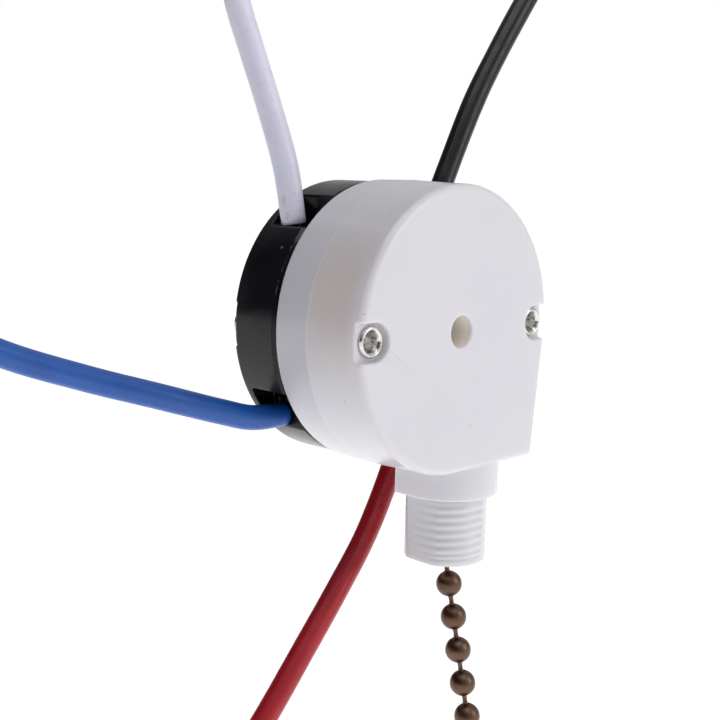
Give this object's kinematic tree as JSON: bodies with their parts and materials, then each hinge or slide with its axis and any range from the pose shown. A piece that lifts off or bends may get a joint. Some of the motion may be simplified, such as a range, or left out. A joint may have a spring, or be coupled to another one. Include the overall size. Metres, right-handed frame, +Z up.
{
  "type": "pull chain switch",
  "caption": "Pull chain switch in a round white and black case, with a threaded neck, a ball chain and coloured leads for a fan or lamp.",
  "frame": {"origin": "on the neck's axis, in the plane of the collar's shoulder, where the switch seats against a panel", "axes": "+Z up along the neck and away from the panel, so the threaded neck points along -Z; -Y is the case's front face; +X is to the right of the front face"},
  "size_m": [0.1364, 0.0543, 0.2055],
  "materials": {
    "white_nylon": "milky satin nylon, slightly translucent",
    "black_plastic": "glossy moulded thermoset",
    "nickel": "nickel plated, rolled and crimped",
    "natural_plastic": "natural acetal",
    "antique_brass": "antique bronze plating, worn brighter on the beads",
    "spring_steel": "bright spring strip",
    "red_plastic": "moulded thermoplastic",
    "contact_brass": "stamped strip",
    "copper": "stranded copper, tinned at the tip",
    "pvc_white": "satin PVC insulation",
    "pvc_blue": "satin PVC insulation",
    "pvc_red": "satin PVC insulation",
    "pvc_black": "satin PVC insulation"
  },
  "bodies": {
    "case": {"front_housing": "white_nylon", "rear_base": "black_plastic", "rivet_left": "nickel", "rivet_right": "nickel", "return_spring": "spring_steel", "detent_spring": "spring_steel", "terminal_white": "contact_brass", "terminal_blue": "contact_brass", "terminal_red": "contact_brass", "terminal_black": "contact_brass", "lead_white": "pvc_white", "lead_blue": "pvc_blue", "lead_red": "pvc_red", "lead_black": "pvc_black", "core_white": "copper", "core_blue": "copper", "core_red": "copper", "core_black": "copper"},
    "drum": {"chain_drum": "natural_plastic", "chain_wrapped": "antique_brass"},
    "rotor": {"ratchet_rotor": "red_plastic", "contact_plate": "contact_brass"},
    "chain_slide": {"chain_inner": "antique_brass"},
    "chain_hinge": {"chain_link": "antique_brass"},
    "chain_hang": {"pull_chain": "antique_brass", "chain_coupling": "antique_brass"}
  },
  "joints": [
    {"name": "chain_pull", "type": "slide", "parent": "case", "child": "chain_slide", "axis": [0, 0, -1], "range_m": [0, 0.0096], "stiffness_N_per_m": 300, "springref_m": -0.01},
    {"name": "drum_turn", "type": "hinge", "parent": "case", "child": "drum", "pos_m": [-0.0061, 0, 0.0206], "axis": [0, 1, 0], "range_deg": [0, 92]},
    {"name": "rotor_index", "type": "hinge", "parent": "case", "child": "rotor", "pos_m": [-0.0061, 0, 0.0206], "axis": [0, 1, 0], "continuous": true},
    {"name": "chain_swing", "type": "hinge", "parent": "chain_slide", "child": "chain_hinge", "pos_m": [0, 0, -0.0079], "axis": [1, 0, 0], "range_deg": [-25, 45]},
    {"name": "chain_sway", "type": "hinge", "parent": "chain_hinge", "child": "chain_hang", "pos_m": [0, -0.00091, -0.01195], "axis": [0, 0.9755, -0.2198], "range_deg": [-30, 30]}
  ],
  "couplings": [
    {"joint": "drum_turn", "follows": "chain_pull", "rad_per_m": 163.93}
  ]
}
